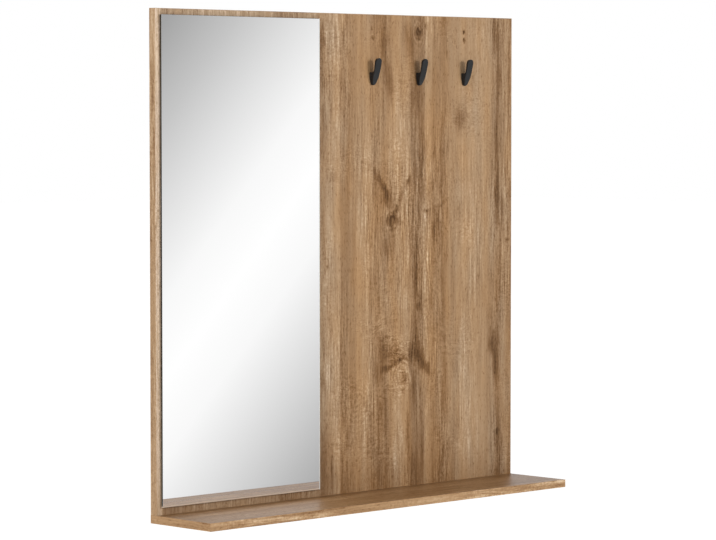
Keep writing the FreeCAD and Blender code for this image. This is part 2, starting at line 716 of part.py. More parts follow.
pieces = [item for item in doc.Objects if item.TypeId == "PartDesign::Body"]
for piece in pieces:
    if piece.Shape.isNull() or not piece.Shape.isValid():
        raise ValueError(f"{piece.Label} has no valid shape")

os.makedirs("parts", exist_ok=True)
for piece in pieces:
    piece.Shape.exportStep(f"parts/{piece.Label}.step")
    box = piece.Shape.BoundBox
    print(f"{piece.Label}: {len(piece.Shape.Solids)} solids, {piece.Shape.Volume:.1f} mm3, {box}")
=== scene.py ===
import math

import bpy
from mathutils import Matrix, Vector


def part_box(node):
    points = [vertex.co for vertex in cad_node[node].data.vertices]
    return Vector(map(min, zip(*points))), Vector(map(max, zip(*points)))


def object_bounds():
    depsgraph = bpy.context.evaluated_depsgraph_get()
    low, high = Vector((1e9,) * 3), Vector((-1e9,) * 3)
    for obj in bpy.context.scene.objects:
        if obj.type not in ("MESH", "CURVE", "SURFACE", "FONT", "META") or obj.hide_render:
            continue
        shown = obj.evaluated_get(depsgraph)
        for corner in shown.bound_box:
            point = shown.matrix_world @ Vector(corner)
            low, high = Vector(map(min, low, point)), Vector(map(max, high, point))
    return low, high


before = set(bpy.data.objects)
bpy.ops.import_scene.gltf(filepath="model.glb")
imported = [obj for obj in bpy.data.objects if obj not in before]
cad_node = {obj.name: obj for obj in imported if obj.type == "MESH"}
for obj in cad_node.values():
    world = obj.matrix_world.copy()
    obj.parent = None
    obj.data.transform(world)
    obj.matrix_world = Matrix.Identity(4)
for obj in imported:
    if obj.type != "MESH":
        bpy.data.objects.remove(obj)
cad_low, cad_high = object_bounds()


# Panel board
# The upright back of the piece: chipboard pressed between two sheets of melamine paper that is
# printed as wild oak, with the grain upright. It is sawn to size, bored from behind, and stands
# on the shelf board.

def linear(code):
    """A colour written as sRGB hex, as the linear RGBA that a shader reads."""
    channels = [int(code[i:i + 2], 16) / 255 for i in (1, 3, 5)]
    return [c / 12.92 if c <= 0.04045 else ((c + 0.055) / 1.055) ** 2.4 for c in channels] + [1.0]


def add(tree, kind, sockets=None, stops=None, **settings):
    """One node: settings are its properties, sockets its inputs, each a value or the output that
    feeds it, and stops the places and colours of a ramp."""
    node = tree.nodes.new(kind)
    for name, value in settings.items():
        setattr(node, name, value)
    for name, value in (sockets or {}).items():
        if isinstance(value, bpy.types.NodeSocket):
            tree.links.new(value, node.inputs[name])
        else:
            node.inputs[name].default_value = value
    if stops:
        while len(node.color_ramp.elements) < len(stops):
            node.color_ramp.elements.new(1.0)
        for element, (place, colour) in zip(node.color_ramp.elements, stops):
            element.position = place
            element.color = colour
    return node


def finish_named(name):
    """An empty material and its output node."""
    material = bpy.data.materials.new(name)
    material.use_nodes = True
    material.node_tree.nodes.clear()
    return material, add(material.node_tree, "ShaderNodeOutputMaterial")


def coat(material, *names):
    """Gives CAD nodes their finish."""
    for name in names:
        mesh = cad_node[name].data
        mesh.materials.clear()
        mesh.materials.append(material)


def streaks(tree, place, width, length, detail, turn=0, shift=0.0, **more):
    """Uneven streaks in a sheet of the print, as wide across its grain and as long along it as given
    in millimetres. The place is in metres, turn in degrees, and shift leads to other streaks."""
    streaked = add(tree, "ShaderNodeMapping", {
        "Vector": place, "Location": (shift, 0.0, 0.0), "Rotation": (0.0, 0.0, math.radians(turn)),
        "Scale": (1000 / width, 1000 / length, 1.0)})
    return add(tree, "ShaderNodeTexNoise", {
        "Vector": streaked.outputs["Vector"], "Scale": 1.0, "Detail": detail, **more})


# The oak print: growth lines, fibres, open pores and small flecks, in a brown that runs from dark
# latewood to pale earlywood. The eye sees streaked wood under an even satin skin that is duller in
# the pores. The place comes in as metres across and along the grain. The board that wears the print
# sets its tone, from 0 for dark to 1.2 for the palest, how far it greys, 0 straw brown to 1 grey
# brown, where the figure curls, and how lively its fine lines are.
oak_print = bpy.data.node_groups.new("oak_print", "ShaderNodeTree")
for name, kind in (("Place", "NodeSocketVector"), ("Tone", "NodeSocketFloat"), ("Grey", "NodeSocketFloat"),
                   ("Curl", "NodeSocketFloat"), ("Lively", "NodeSocketFloat")):
    oak_print.interface.new_socket(name=name, in_out="INPUT", socket_type=kind)
for name, kind in (("Colour", "NodeSocketColor"), ("Roughness", "NodeSocketFloat"),
                   ("Height", "NodeSocketFloat")):
    oak_print.interface.new_socket(name=name, in_out="OUTPUT", socket_type=kind)
print_in = add(oak_print, "NodeGroupInput")
on_sheet = print_in.outputs["Place"]
tone = print_in.outputs["Tone"]
# the fine lines come and go along a plank, in stretches of about 70 by 350 mm
stretches = streaks(oak_print, on_sheet, width=70, length=350, detail=1.0)
mood = add(oak_print, "ShaderNodeMapRange", {
    "Value": stretches.outputs["Fac"], "From Min": 0.35, "From Max": 0.65, "To Min": 0.5, "To Max": 1.7})
lively = add(oak_print, "ShaderNodeMath", {
    0: mood.outputs["Result"], 1: print_in.outputs["Lively"]}, operation="MULTIPLY").outputs[0]
# growth rings about 17 mm apart, their fine lines at 7 mm, fibres, which are drawn 3.4 mm wide
# because real ones of 0.2 mm wouldn't show, and flecks of 4 by 6 mm
for width, length, weight, liveliness in (
        (17, 700, 0.42, 1.0), (7, 150, 0.62, lively), (3.4, 45, 0.62, lively), (4, 6, 0.36, lively)):
    grain = streaks(oak_print, on_sheet, width, length, detail=3.0, Roughness=0.55)
    centred = add(oak_print, "ShaderNodeMath", {0: grain.outputs["Fac"], 1: -0.5}, operation="ADD")
    weighed = add(oak_print, "ShaderNodeMath", {
        0: centred.outputs[0], 1: liveliness}, operation="MULTIPLY")
    tone = add(oak_print, "ShaderNodeMath", {
        0: weighed.outputs[0], 1: weight, 2: tone}, operation="MULTIPLY_ADD").outputs[0]
# ripples across the grain, 14 mm wide and 6 mm high, that come and go in patches of 120 mm
ripples = streaks(oak_print, on_sheet, width=14, length=6, detail=1.0, turn=12, Distortion=1.5)
patches = streaks(oak_print, on_sheet, width=120, length=120, detail=1.0)
patch = add(oak_print, "ShaderNodeMapRange", {
    "Value": patches.outputs["Fac"], "From Min": 0.48, "From Max": 0.66, "To Min": 0.0, "To Max": 0.5})
curled = add(oak_print, "ShaderNodeMath", {
    0: patch.outputs["Result"], 1: print_in.outputs["Curl"]}, operation="ADD")
centred = add(oak_print, "ShaderNodeMath", {0: ripples.outputs["Fac"], 1: -0.5}, operation="ADD")
tone = add(oak_print, "ShaderNodeMath", {
    0: centred.outputs[0], 1: curled.outputs[0], 2: tone}, operation="MULTIPLY_ADD").outputs[0]
# pores: dashes 2.5 mm wide and 12 mm long, coarser than the real 0.3 mm so that they show
dashes = streaks(oak_print, on_sheet, width=2.5, length=12, detail=1.0)
pores = add(oak_print, "ShaderNodeMapRange", {
    "Value": dashes.outputs["Fac"], "From Min": 0.60, "From Max": 0.74, "To Min": 0.0, "To Max": 1.0})
pore_darker = 0.26
tone = add(oak_print, "ShaderNodeMath", {
    0: pores.outputs["Result"], 1: -pore_darker, 2: tone}, operation="MULTIPLY_ADD").outputs[0]
palest_tone = 1.2
inked = add(oak_print, "ShaderNodeMapRange", {"Value": tone, "From Max": palest_tone})
straw = add(oak_print, "ShaderNodeValToRGB", {"Fac": inked.outputs["Result"]}, stops=(
    (0.0, linear("#4a2c06")), (0.35, linear("#7e5933")),
    (0.7, linear("#ae8961")), (1.0, linear("#d8bc98"))))
ash = add(oak_print, "ShaderNodeValToRGB", {"Fac": inked.outputs["Result"]}, stops=(
    (0.0, linear("#482c08")), (0.35, linear("#7a5b3d")),
    (0.7, linear("#a88d6f")), (1.0, linear("#d4bca4"))))
brown = add(oak_print, "ShaderNodeMix", {
    0: print_in.outputs["Grey"], 6: straw.outputs["Color"], 7: ash.outputs["Color"]}, data_type="RGBA")
satin = add(oak_print, "ShaderNodeMapRange", {
    "Value": pores.outputs["Result"], "To Min": 0.37, "To Max": 0.50})
relief = add(oak_print, "ShaderNodeMath", {0: 1.0, 1: pores.outputs["Result"]}, operation="SUBTRACT")
add(oak_print, "NodeGroupOutput", {
    "Colour": brown.outputs[2], "Roughness": satin.outputs["Result"], "Height": relief.outputs[0]})

# Chipboard where it is cut: chips of pale and brown wood pressed in glue. The eye sees an even
# speckle, its spots about 3.5 mm across, with no grain in it.
chip_size = 3.5
raw_chips = bpy.data.node_groups.new("raw_chips", "ShaderNodeTree")
raw_chips.interface.new_socket(name="Place", in_out="INPUT", socket_type="NodeSocketVector")
raw_chips.interface.new_socket(name="Colour", in_out="OUTPUT", socket_type="NodeSocketColor")
chips_in = add(raw_chips, "NodeGroupInput")
chips = add(raw_chips, "ShaderNodeTexVoronoi", {
    "Vector": chips_in.outputs["Place"], "Scale": 1000 / chip_size})
chip_tones = add(raw_chips, "ShaderNodeSeparateColor", {"Color": chips.outputs["Color"]})
chip_brown = add(raw_chips, "ShaderNodeValToRGB", {"Fac": chip_tones.outputs["Red"]}, stops=(
    (0.0, linear("#8a6a48")), (0.5, linear("#b9976c")), (1.0, linear("#d8bd93"))))
add(raw_chips, "NodeGroupOutput", {"Colour": chip_brown.outputs["Color"]})


def face_board(tree, output, here, through, low, high, printed, shine):
    """A faced board: the print, with its pores pressed in, on the two faces, and bare chips between
    them, in bores and on raw edges. Its thickness runs from low to high, and through is the place in it."""
    paper_thickness = 0.0003
    pore_depth = 0.0001
    chips = add(tree, "ShaderNodeGroup", {"Place": here}, node_tree=raw_chips)
    in_core = add(tree, "ShaderNodeMath", {
        0: through, 1: (low + high) / 2, 2: (high - low) / 2 - paper_thickness}, operation="COMPARE")
    face_or_core = add(tree, "ShaderNodeMix", {
        0: in_core.outputs[0], 6: printed.outputs["Colour"], 7: chips.outputs["Colour"]}, data_type="RGBA")
    embossed = add(tree, "ShaderNodeBump", {
        "Height": printed.outputs["Height"], "Strength": 0.25, "Distance": pore_depth})
    melamine = add(tree, "ShaderNodeBsdfPrincipled", {
        "Base Color": face_or_core.outputs[2], "Roughness": printed.outputs["Roughness"],
        "IOR": 1.5, "Specular IOR Level": shine, "Normal": embossed.outputs["Normal"]})
    tree.links.new(melamine.outputs["BSDF"], output.inputs["Surface"])


def wander(tree, sheet, place, width, length, detail, reach):
    """A place on the sheet, led to and fro by parts of reach, in metres, in spots of a width and
    length in millimetres."""
    drift = streaks(tree, sheet, width, length, detail)
    centred = add(tree, "ShaderNodeVectorMath", {
        0: drift.outputs["Color"], 1: (0.5, 0.5, 0.5)}, operation="SUBTRACT")
    return add(tree, "ShaderNodeVectorMath", {
        0: centred.outputs["Vector"], 1: reach, 2: place}, operation="MULTIPLY_ADD").outputs["Vector"]


def by_plank(tree, across, values):
    """A value that changes from plank to plank: pairs of millimetres from the sheet's left edge and
    the value there. A ramp holds no more than 1, so this one holds halves."""
    halves = add(tree, "ShaderNodeValToRGB", {"Fac": across}, stops=[
        (place / 1000, (value / 2, value / 2, value / 2, 1.0)) for place, value in values])
    return add(tree, "ShaderNodeMath", {
        0: halves.outputs["Color"], 1: 2.0}, operation="MULTIPLY").outputs[0]


def inside_oval(tree, place, across, up, half_width, half_length, lean=0):
    """How far inside an oval a place lies, from 0 at its rim to 1 at its middle. The oval's middle,
    half width and half length are in millimetres, its lean to the right in degrees."""
    oval = add(tree, "ShaderNodeMapping", {
        "Vector": place, "Location": (across / 1000, up / 1000, 0.0),
        "Rotation": (0.0, 0.0, math.radians(-lean)),
        "Scale": (half_width / 1000, half_length / 1000, 1.0)}, vector_type="TEXTURE")
    return add(tree, "ShaderNodeTexGradient", {
        "Vector": oval.outputs["Vector"]}, gradient_type="SPHERICAL").outputs["Fac"]


# Melamine paper on the panel: planks of pale and dark oak with wild knots, satin and flat to the eye.
panel_finish, panel_out = finish_named("oak_melamine_upright")
tree = panel_finish.node_tree
here = add(tree, "ShaderNodeTexCoord").outputs["Object"]
# places on the sheet are counted from the panel's lower left corner, seen from the room
board_low, board_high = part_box("panel_board")
thickness = board_high.y - board_low.y
from_corner = add(tree, "ShaderNodeMapping", {
    "Vector": here, "Location": (-board_low.x, -board_low.y, -board_low.z)}, vector_type="POINT")
place = add(tree, "ShaderNodeSeparateXYZ", {"Vector": from_corner.outputs["Vector"]})
# the rear wears a sheet of its own, cut 1.5 m further up the print, where there are no knots
rear_cut = 1.5
on_rear = add(tree, "ShaderNodeMath", {0: place.outputs["Y"], 1: thickness / 2}, operation="GREATER_THAN")
up_print = add(tree, "ShaderNodeMath", {
    0: on_rear.outputs[0], 1: rear_cut, 2: place.outputs["Z"]}, operation="MULTIPLY_ADD")
sheet = add(tree, "ShaderNodeCombineXYZ", {
    "X": place.outputs["X"], "Y": up_print.outputs[0]}).outputs["Vector"]
# the planks' edges wander by a few millimetres, in waves about 300 mm and 90 mm long
wavy = sheet
for width, length, sway in ((140, 300, 0.008), (40, 90, 0.004)):
    wavy = wander(tree, sheet, wavy, width, length, detail=1.0, reach=(sway, sway * 2, 0.0))
# knots and the marks round them have ragged edges, torn along the fibres in bits of 8 by 22 mm
ragged = wander(tree, sheet, sheet, width=8, length=22, detail=2.0, reach=(0.010, 0.024, 0.0))
# the grain runs round the larger knots: across, up, half width and half length of the place where
# it is pushed aside, and how far, in millimetres
for across, up, half_width, half_length, push in (
        (640, 550, 45, 100, 12), (720, 255, 60, 110, 18), (670, 230, 40, 60, 14), (715, 935, 30, 50, 8),
        (945, 265, 30, 90, 8)):
    oval = add(tree, "ShaderNodeMapping", {
        "Vector": wavy, "Location": (across / 1000, up / 1000, 0.0),
        "Scale": (half_width / 1000, half_length / 1000, 1.0)}, vector_type="TEXTURE")
    from_middle = add(tree, "ShaderNodeVectorMath", {0: oval.outputs["Vector"]}, operation="LENGTH")
    fade = add(tree, "ShaderNodeMapRange", {
        "Value": from_middle.outputs["Value"], "From Min": 1.0, "From Max": 0.0, "To Max": push / 1000},
        interpolation_type="SMOOTHSTEP", clamp=False)
    aside = add(tree, "ShaderNodeVectorMath", {
        0: oval.outputs["Vector"], "Scale": fade.outputs["Result"]}, operation="SCALE")
    wavy = add(tree, "ShaderNodeVectorMath", {
        0: aside.outputs["Vector"], 1: (-1.0, 0.0, 0.0), 2: wavy},
        operation="MULTIPLY_ADD").outputs["Vector"]
over_planks = add(tree, "ShaderNodeSeparateXYZ", {"Vector": wavy}).outputs["X"]
# pale and dark planks across the sheet: millimetres from its left edge, and tone
# the tones at 428 and 446 mm, by the pane's right edge, are raised: painted light against the shadow that
# the pane casts there
plank_tone = by_plank(tree, over_planks, (
    (0, 1.08), (14, 1.06), (17, 0.62), (60, 0.72), (140, 0.80), (300, 0.78), (330, 0.60), (428, 0.76),
    (446, 0.66), (466, 0.80), (489, 0.82), (492, 0.62), (517, 0.60), (553, 0.77), (570, 0.78), (579, 0.67),
    (605, 0.59), (637, 0.64), (656, 0.74), (685, 0.75), (691, 0.60), (708, 0.54), (724, 0.57), (733, 0.63),
    (738, 0.76), (755, 0.74), (759, 0.57), (797, 0.60), (851, 0.80), (928, 0.74), (957, 0.50), (975, 0.64)))
# some planks are greyer: millimetres from the left edge, and how far. Blotches of 35 by 160 mm
# make the grey uneven
plank_grey = by_plank(tree, over_planks, (
    (0, 0.95), (16, 0.95), (60, 1.00), (425, 1.00), (466, 0.70), (480, 0.50), (500, 0.32), (690, 0.30),
    (700, 0.66), (735, 0.50), (742, 0.28), (800, 0.25), (815, 0.52), (925, 0.55), (940, 0.80), (970, 0.75),
    (990, 0.45)))
blotches = streaks(tree, wavy, width=35, length=160, detail=1.0)
centred = add(tree, "ShaderNodeMath", {0: blotches.outputs["Fac"], 1: -0.5}, operation="ADD")
greyed = add(tree, "ShaderNodeMath", {
    0: centred.outputs[0], 1: 1.6, 2: plank_grey}, operation="MULTIPLY_ADD", use_clamp=True)
# in some planks the fine lines stand out, in others they are faint: millimetres from the left
# edge, and how lively they are
plank_lively = by_plank(tree, over_planks, (
    (0, 1.0), (430, 1.0), (490, 0.9), (560, 0.9), (600, 0.85), (690, 1.05), (740, 1.3), (797, 1.1),
    (815, 0.65), (925, 0.65), (945, 1.15), (990, 1.0)))
# knots and the dark or pale marks round them, each a soft-edged oval: across, up, half width,
# half length in millimetres, lean to the right in degrees, and how much darker
marks = [
    # upper knot: its core, a stroke to the left, the tail, rays to the lower right, and the shade below
    (640, 552, 14, 11, 0, 0.38), (624, 550, 6, 10, 0, 0.24), (638, 535, 4, 10, 0, 0.20),
    (665, 545, 4, 14, -60, 0.10), (622, 495, 17, 20, 0, 0.10),
    # its left arm, from a round dark end outwards, and its right arm
    (625, 597, 11, 18, -10, 0.36), (612, 622, 8, 16, -35, 0.28), (595, 642, 9, 18, -35, 0.20),
    (600, 610, 14, 35, -20, 0.08), (650, 568, 7, 18, 35, 0.30), (665, 600, 7, 25, 25, 0.20),
    (686, 628, 6, 12, 35, 0.34),
    # lower knot: the arch, a short branch, the brown cloud over it, and the shades left of it
    (622, 247, 7, 16, 85, 0.26), (650, 255, 6, 22, 75, 0.30), (664, 260, 5, 9, 60, 0.24),
    (680, 264, 5, 8, -50, 0.24), (642, 274, 36, 20, 0, 0.20),
    (612, 290, 14, 35, 0, 0.18), (605, 240, 15, 25, 0, 0.14), (615, 165, 14, 45, 0, 0.12),
    # the dark wood right of the arch, the lines over and under it, the eye, and its pale rim
    (697, 272, 13, 24, 0, 0.20), (720, 270, 13, 36, -22, 0.30), (742, 238, 11, 18, -45, 0.26),
    (710, 300, 4, 40, 0, 0.26), (705, 200, 6, 40, 0, 0.20), (683, 140, 3, 45, 0, 0.16),
    (677, 226, 12, 12, 0, 0.22), (690, 228, 3, 24, -12, -0.22),
    # top knot, the spot right of it, and the dark cloud left of it
    (715, 935, 10, 12, 0, 0.35), (740, 950, 6, 6, 0, 0.20), (685, 920, 15, 50, -10, 0.18),
    # the dark plank in the middle: shades and lines in it, and a tick
    (715, 800, 20, 40, 0, 0.16), (725, 680, 6, 90, 0, 0.18), (703, 650, 5, 80, 0, 0.14),
    (708, 450, 7, 75, 0, 0.22), (715, 370, 8, 7, 0, 0.22), (685, 90, 6, 50, 0, 0.14),
    (728, 80, 5, 60, 0, 0.13), (705, 40, 18, 45, 0, 0.10),
    # the plank right of it: a pale strip, a tick over it, a curled line, and a brown shade
    (738, 420, 9, 110, 0, -0.06), (741, 567, 9, 6, 0, 0.32), (785, 580, 5, 18, 60, 0.13),
    (768, 535, 12, 30, 0, 0.12),
    # the right edge: the dark line, the knot under it, and small knots
    (950, 700, 5, 65, 0, 0.20), (955, 615, 7, 45, 0, 0.25), (955, 560, 6, 40, 0, 0.12),
    (945, 935, 10, 35, 0, 0.14), (942, 285, 15, 30, 0, 0.32), (950, 235, 9, 40, 0, 0.30),
    (955, 95, 5, 7, 0, 0.34), (985, 500, 7, 7, 0, 0.24),
    # shades round the hooks
    (615, 915, 12, 40, 5, 0.18), (630, 835, 12, 50, -12, 0.16), (645, 720, 33, 90, 0, -0.12),
    (842, 760, 18, 30, 0, 0.24), (800, 890, 4, 12, -10, 0.18),
    # over the mirror, beside it and at the foot
    (225, 965, 230, 14, 0, -0.05), (435, 890, 13, 75, 0, 0.22), (440, 740, 10, 70, 0, 0.14),
    (470, 640, 10, 15, 90, 0.14), (440, 235, 9, 28, -10, 0.18), (468, 45, 4, 55, 0, 0.24),
    (448, 60, 20, 90, 0, 0.15), (600, 80, 32, 110, 0, 0.06), (658, 100, 22, 120, 0, -0.10),
    (870, 100, 50, 130, 0, -0.06), (455, 460, 6, 8, 0, 0.20), (452, 165, 5, 7, 0, 0.15),
    (455, 138, 4, 6, 0, 0.13)]
# two pin knots show above each hook
for hook, darker in (("hook_left", 0.22), ("hook_middle", 0.22), ("hook_right", 0.55)):
    hook_low, hook_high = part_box(hook)
    hook_across = 1000 * ((hook_low.x + hook_high.x) / 2 - board_low.x)
    marks += [(hook_across, 920, 4, 5, 0, darker), (hook_across, 940, 4, 5, 0, darker)]
# a mark's soft edge reaches half as far again as its size
soft_edge = 1.5
stains = 0.0
for across, up, half_width, half_length, lean, darker in marks:
    inside = inside_oval(tree, ragged, across, up, soft_edge * half_width, soft_edge * half_length, lean)
    stain = add(tree, "ShaderNodeMapRange", {
        "Value": inside, "From Max": 0.93, "To Max": darker}, interpolation_type="SMOOTHSTEP", clamp=False)
    stains = add(tree, "ShaderNodeMath", {
        0: stains, 1: stain.outputs["Result"]}, operation="ADD").outputs[0]
# rings in the curly wood round the knots: across, up, half width, half length in millimetres, number
# of rings, and how much darker
for across, up, half_width, half_length, count, darker in (
        (666, 228, 40, 48, 5, 0.07), (645, 290, 45, 40, 6, 0.05), (640, 550, 35, 45, 4, 0.07),
        (540, 180, 60, 60, 6, 0.05), (715, 935, 25, 40, 4, 0.08)):
    inside = inside_oval(tree, ragged, across, up, half_width, half_length)
    turns = add(tree, "ShaderNodeMath", {0: inside, 1: count * math.tau}, operation="MULTIPLY")
    rings = add(tree, "ShaderNodeMath", {0: turns.outputs[0]}, operation="SINE")
    fade = add(tree, "ShaderNodeMapRange", {
        "Value": inside, "From Max": 0.6, "To Max": darker}, interpolation_type="SMOOTHSTEP", clamp=False)
    stains = add(tree, "ShaderNodeMath", {
        0: rings.outputs[0], 1: fade.outputs["Result"], 2: stains}, operation="MULTIPLY_ADD").outputs[0]
# the marks lie in the fibres, so they break up into lines 4 mm wide
lines = streaks(tree, wavy, width=4, length=45, detail=2.0)
uneven = add(tree, "ShaderNodeMapRange", {
    "Value": lines.outputs["Fac"], "From Min": 0.3, "From Max": 0.7, "To Min": 0.7, "To Max": 2.0})
broken = add(tree, "ShaderNodeMath", {0: stains, 1: uneven.outputs["Result"]}, operation="MULTIPLY")
# a shade over the lowest 60 mm, because the photograph's corner with the shelf is darker
# this is painted shade in the colour, darkest at the foot where the panel meets the shelf
foot_height = 0.060
foot_darker = 0.10
painted_foot_shade = add(tree, "ShaderNodeMapRange", {
    "Value": place.outputs["Z"], "From Min": 0.0, "From Max": foot_height,
    "To Min": foot_darker, "To Max": 0.0})
all_darker = add(tree, "ShaderNodeMath", {
    0: broken.outputs[0], 1: painted_foot_shade.outputs["Result"]}, operation="ADD")
panel_tone = add(tree, "ShaderNodeMath", {0: plank_tone, 1: all_darker.outputs[0]}, operation="SUBTRACT")
# where the figure curls: across, up, half width, half length in millimetres, and how much
curl = 0.0
for across, up, half_width, half_length, strength in (
        (540, 140, 110, 140, 0.40), (620, 370, 45, 110, 0.45), (655, 225, 50, 55, 0.55),
        (765, 205, 35, 60, 0.40), (650, 290, 55, 45, 0.60), (660, 625, 40, 40, 0.25)):
    inside = inside_oval(tree, ragged, across, up, half_width, half_length)
    fade = add(tree, "ShaderNodeMapRange", {
        "Value": inside, "From Max": 0.5, "To Max": strength}, interpolation_type="SMOOTHSTEP", clamp=False)
    curl = add(tree, "ShaderNodeMath", {0: curl, 1: fade.outputs["Result"]}, operation="ADD").outputs[0]
printed = add(tree, "ShaderNodeGroup", {
    "Place": wavy, "Tone": panel_tone.outputs[0], "Grey": greyed.outputs[0], "Curl": curl,
    "Lively": plank_lively}, node_tree=oak_print)
face_board(tree, panel_out, here, place.outputs["Y"], 0.0, thickness, printed, shine=0.18)
coat(panel_finish, "panel_board")


# Shelf board
# The board that the panel stands on and that carries keys and gloves: the same chipboard and
# the same print, cut with the grain lengthwise. Its rear edge goes to the wall and is left raw.

# Melamine paper on the shelf: calmer and darker oak than the panel's, with a soft shine at a flat angle.
shelf_finish, shelf_out = finish_named("oak_melamine_lengthwise")
tree = shelf_finish.node_tree
here = add(tree, "ShaderNodeTexCoord").outputs["Object"]
shelf_low, shelf_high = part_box("shelf_board")
place = add(tree, "ShaderNodeSeparateXYZ", {"Vector": here})
sheet = add(tree, "ShaderNodeCombineXYZ", {
    "X": place.outputs["Y"], "Y": place.outputs["X"]}).outputs["Vector"]
planks = streaks(tree, sheet, width=45, length=900, detail=2.0, shift=3.1)
open_tone = add(tree, "ShaderNodeMapRange", {
    "Value": planks.outputs["Fac"], "From Min": 0.3, "From Max": 0.7, "To Min": 0.39, "To Max": 0.66})
# the painted shade in the corner goes on over the 30 mm before the panel
corner_depth = 0.030
corner_darker = 0.22
painted_corner_shade = add(tree, "ShaderNodeMapRange", {
    "Value": place.outputs["Y"], "From Min": board_low.y - corner_depth, "From Max": board_low.y,
    "To Min": 0.0, "To Max": corner_darker})
shelf_tone = add(tree, "ShaderNodeMath", {
    0: open_tone.outputs["Result"], 1: painted_corner_shade.outputs["Result"]}, operation="SUBTRACT")
printed = add(tree, "ShaderNodeGroup", {
    "Place": sheet, "Tone": shelf_tone.outputs[0], "Grey": 0.2, "Lively": 1.0}, node_tree=oak_print)
face_board(tree, shelf_out, here, place.outputs["Z"], shelf_low.z, shelf_high.z, printed, shine=0.25)
coat(shelf_finish, "shelf_board")


# Edge bands
# Strips of ABS, 1 mm thick and printed with the same oak, glued on all sawn edges that show and
# rounded over by a scraper. The grain runs along each strip.

# Printed ABS: paler than the faces beside it, satin, and smooth, with pores that are only printed.
for finish_name, grain_axis, width_axis, dark, pale, grey, nodes in (
        ("oak_edging_upright", "Z", "Y", 0.71, 0.91, 0.4, ("panel_edge_left", "panel_edge_right")),
        ("oak_edging_top", "X", "Y", 0.66, 0.86, 0.8, ("panel_edge_top",)),
        ("oak_edging_front", "X", "Z", 0.70, 0.91, 0.1, ("shelf_edge_front",)),
        ("oak_edging_ends", "Y", "Z", 0.70, 0.93, 0.0, ("shelf_edge_left", "shelf_edge_right"))):
    edging, edging_out = finish_named(finish_name)
    tree = edging.node_tree
    here = add(tree, "ShaderNodeTexCoord").outputs["Object"]
    place = add(tree, "ShaderNodeSeparateXYZ", {"Vector": here})
    strip = add(tree, "ShaderNodeCombineXYZ", {
        "X": place.outputs[width_axis], "Y": place.outputs[grain_axis]}).outputs["Vector"]
    bands = streaks(tree, strip, width=12, length=260, detail=2.0)
    strip_tone = add(tree, "ShaderNodeMapRange", {
        "Value": bands.outputs["Fac"], "From Min": 0.3, "From Max": 0.7, "To Min": dark, "To Max": pale})
    printed = add(tree, "ShaderNodeGroup", {
        "Place": strip, "Tone": strip_tone.outputs["Result"], "Grey": grey, "Lively": 1.4},
        node_tree=oak_print)
    abs_strip = add(tree, "ShaderNodeBsdfPrincipled", {
        "Base Color": printed.outputs["Colour"], "Roughness": printed.outputs["Roughness"],
        "IOR": 1.53, "Specular IOR Level": 0.25})
    tree.links.new(abs_strip.outputs["BSDF"], edging_out.inputs["Surface"])
    coat(edging, *nodes)


# Connectors
# What pulls the panel down on the shelf: beech dowels set in both boards, steel bolts screwed
# into the shelf, and zinc cam housings turned tight on them from the panel's rear.

# Zinc-plated steel: a cool bright metal, clouded in spots of about 4 mm.
cloud_size = 4
zinc, zinc_out = finish_named("zinc_plated_steel")
tree = zinc.node_tree
here = add(tree, "ShaderNodeTexCoord").outputs["Object"]
cloudy = add(tree, "ShaderNodeTexNoise", {"Vector": here, "Scale": 1000 / cloud_size, "Detail": 3.0})
blue_white = add(tree, "ShaderNodeValToRGB", {"Fac": cloudy.outputs["Fac"]}, stops=(
    (0.3, linear("#a9adb0")), (0.7, linear("#c9ccce"))))
dull = add(tree, "ShaderNodeMapRange", {"Value": cloudy.outputs["Fac"], "To Min": 0.28, "To Max": 0.48})
plated = add(tree, "ShaderNodeBsdfPrincipled", {
    "Base Color": blue_white.outputs["Color"], "Metallic": 1.0, "Roughness": dull.outputs["Result"]})
tree.links.new(plated.outputs["BSDF"], zinc_out.inputs["Surface"])
coat(zinc, "cam_bolts")

# Zinc as it comes from the mould: a darker grey metal with a dull, sandy skin.
grit_size = 1.5
grit_depth = 0.0002
casting, casting_out = finish_named("zinc_die_casting")
tree = casting.node_tree
here = add(tree, "ShaderNodeTexCoord").outputs["Object"]
grit = add(tree, "ShaderNodeTexNoise", {"Vector": here, "Scale": 1000 / grit_size, "Detail": 3.0})
cast_grey = add(tree, "ShaderNodeValToRGB", {"Fac": grit.outputs["Fac"]}, stops=(
    (0.3, linear("#84878a")), (0.7, linear("#a7aaad"))))
rough_skin = add(tree, "ShaderNodeBump", {
    "Height": grit.outputs["Fac"], "Strength": 0.3, "Distance": grit_depth})
cast_zinc = add(tree, "ShaderNodeBsdfPrincipled", {
    "Base Color": cast_grey.outputs["Color"], "Metallic": 1.0, "Roughness": 0.5,
    "Normal": rough_skin.outputs["Normal"]})
tree.links.new(cast_zinc.outputs["BSDF"], casting_out.inputs["Surface"])
coat(casting, "cam_housings")

# Turned beech, left bare: matt pinkish wood with fine upright flecks, 1 mm wide and 9 mm long.
fleck_width, fleck_length = 1.0, 9
beech, beech_out = finish_named("turned_beech")
tree = beech.node_tree
here = add(tree, "ShaderNodeTexCoord").outputs["Object"]
fine = add(tree, "ShaderNodeMapping", {
    "Vector": here, "Scale": (1000 / fleck_width, 1000 / fleck_width, 1000 / fleck_length)})
flecks = add(tree, "ShaderNodeTexNoise", {"Vector": fine.outputs["Vector"], "Scale": 1.0, "Detail": 2.0})
pinkish = add(tree, "ShaderNodeValToRGB", {"Fac": flecks.outputs["Fac"]}, stops=(
    (0.35, linear("#c49a6c")), (0.65, linear("#dcb98d"))))
dowel_wood = add(tree, "ShaderNodeBsdfPrincipled", {
    "Base Color": pinkish.outputs["Color"], "Roughness": 0.6, "IOR": 1.5})
tree.links.new(dowel_wood.outputs["BSDF"], beech_out.inputs["Surface"])
coat(beech, "shelf_dowels")
